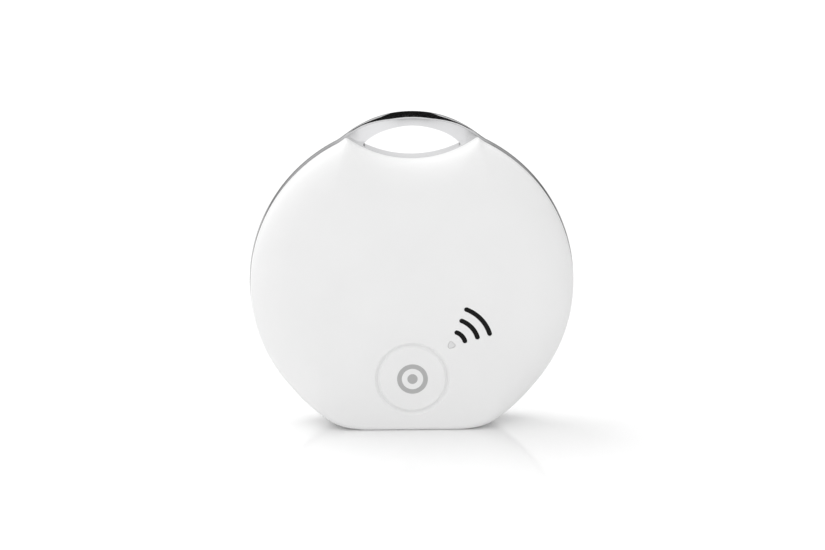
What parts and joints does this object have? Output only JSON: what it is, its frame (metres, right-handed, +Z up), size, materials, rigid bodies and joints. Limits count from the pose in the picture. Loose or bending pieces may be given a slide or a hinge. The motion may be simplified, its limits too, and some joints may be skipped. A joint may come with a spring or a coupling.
{
  "type": "bluetooth tracker tag",
  "caption": "Round white key finder tag with a plated key loop, a front button, sound slots and a snap-off rear cover over a coin cell.",
  "frame": {"origin": "centre of the flat base that the tag stands on", "axes": "+Z up through the key loop, -Y out of the face with the button, +X to the right seen from the front"},
  "size_m": [0.038, 0.0076, 0.0375],
  "materials": {
    "cover_white": "fine matte",
    "button_white": "fine matte",
    "plated_band": "polished plating",
    "light_pipe": "frosted clear",
    "black_mesh": "woven acoustic mesh",
    "black_plastic": "satin moulded",
    "brass": "satin",
    "ceramic": "matte",
    "board_green": "solder mask",
    "capacitor_body": "matte",
    "steel": "nickel plated",
    "contact_gold": "gold plated",
    "cell_seal": "nylon",
    "black_foam": "open foam",
    "led_body": "clear"
  },
  "bodies": {
    "case": {"front_cover": "cover_white", "key_loop_frame": "plated_band", "switch_base": "black_plastic", "switch_plate": "steel", "led_light_pipe": "light_pipe", "status_led": "led_body", "speaker_mesh": "black_mesh", "buzzer_housing": "black_plastic", "buzzer_diaphragm": "brass", "buzzer_ceramic": "ceramic", "circuit_board": "board_green", "bluetooth_chip": "black_plastic", "chip_antenna": "ceramic", "crystal_main": "steel", "crystal_clock": "steel", "buzzer_coil": "black_plastic", "buzzer_transistor": "black_plastic", "battery_tray": "black_plastic", "negative_contact": "contact_gold", "positive_contact": "contact_gold", "capacitor_1": "capacitor_body", "capacitor_2": "capacitor_body", "capacitor_3": "capacitor_body", "capacitor_4": "capacitor_body", "capacitor_5": "capacitor_body", "capacitor_6": "capacitor_body", "resistor_1": "black_plastic", "resistor_2": "black_plastic", "resistor_3": "black_plastic", "pcb_screw_1": "steel", "pcb_screw_2": "steel", "pcb_screw_3": "steel"},
    "button": {"button_cap": "button_white", "switch_plunger": "black_plastic"},
    "rear_lid": {"rear_cover": "cover_white", "cell_pad": "black_foam"},
    "coin_cell": {"cell_can": "steel", "cell_seal": "cell_seal", "cell_cap": "steel", "cell_pellet": "black_foam"}
  },
  "joints": [
    {"name": "button_press", "type": "slide", "parent": "case", "child": "button", "axis": [0, 1, 0], "range_m": [0, 0.0003], "stiffness_N_per_m": 4000},
    {"name": "rear_cover_off", "type": "slide", "parent": "case", "child": "rear_lid", "axis": [0, 1, 0], "range_m": [0, 0.016]},
    {"name": "cell_out", "type": "slide", "parent": "case", "child": "coin_cell", "axis": [0, 1, 0], "range_m": [0, 0.008]}
  ],
  "couplings": [
    {"joint": "cell_out", "follows": "rear_cover_off", "ratio": 0.5}
  ]
}
